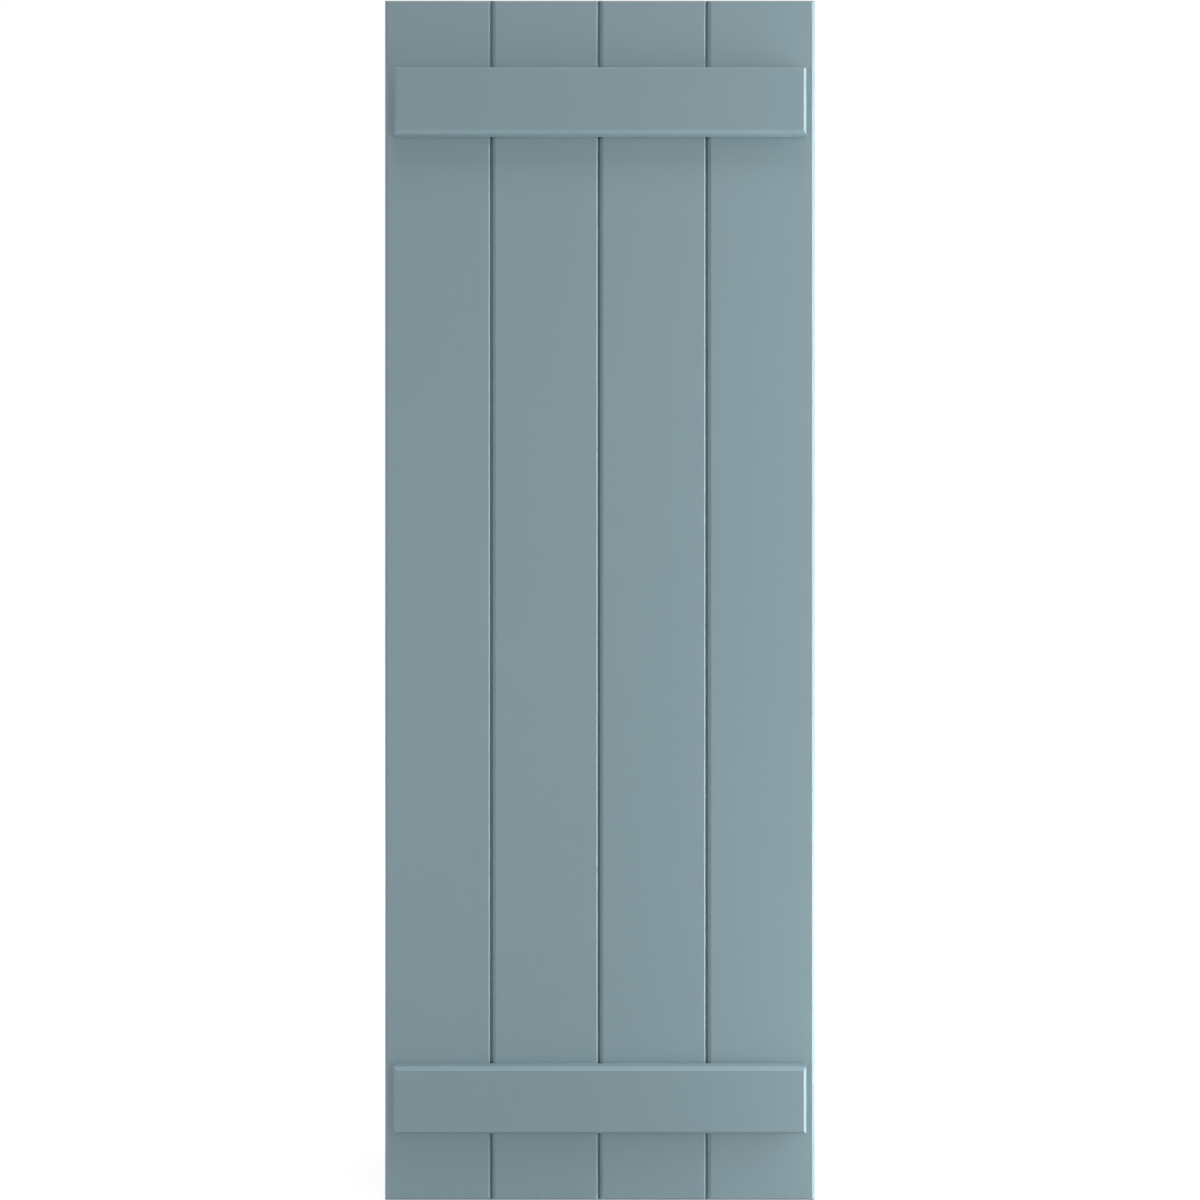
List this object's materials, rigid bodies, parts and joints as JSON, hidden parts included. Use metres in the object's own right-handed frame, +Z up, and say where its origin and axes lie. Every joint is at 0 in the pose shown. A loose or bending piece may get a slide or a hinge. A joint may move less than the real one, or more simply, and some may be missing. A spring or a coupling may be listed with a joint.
{
  "type": "board and batten shutter",
  "caption": "Tall flat window shutter of upright tongue-and-groove boards with V-grooved seams, tied by chamfered cross battens near top and bottom; fixes flat to a wall.",
  "frame": {"origin": "middle of the shutter's flat back, on the plane that lies against the wall", "axes": "+Z up the boards, +Y out of the back into the wall, +X to the right as seen from the front"},
  "size_m": [0.5462, 0.0254, 1.524],
  "materials": {
    "board_paint": "satin grey-blue paint on smooth cellular PVC",
    "batten_paint": "satin grey-blue paint on smooth cellular PVC",
    "screw_steel": "plain stainless steel"
  },
  "bodies": {
    "root": {"board_1": "board_paint", "board_2": "board_paint", "board_3": "board_paint", "board_4": "board_paint", "top_batten": "batten_paint", "bottom_batten": "batten_paint", "top_screw_1": "screw_steel", "top_screw_2": "screw_steel", "top_screw_3": "screw_steel", "top_screw_4": "screw_steel", "top_screw_5": "screw_steel", "top_screw_6": "screw_steel", "top_screw_7": "screw_steel", "top_screw_8": "screw_steel", "bottom_screw_1": "screw_steel", "bottom_screw_2": "screw_steel", "bottom_screw_3": "screw_steel", "bottom_screw_4": "screw_steel", "bottom_screw_5": "screw_steel", "bottom_screw_6": "screw_steel", "bottom_screw_7": "screw_steel", "bottom_screw_8": "screw_steel"}
  },
  "joints": []
}
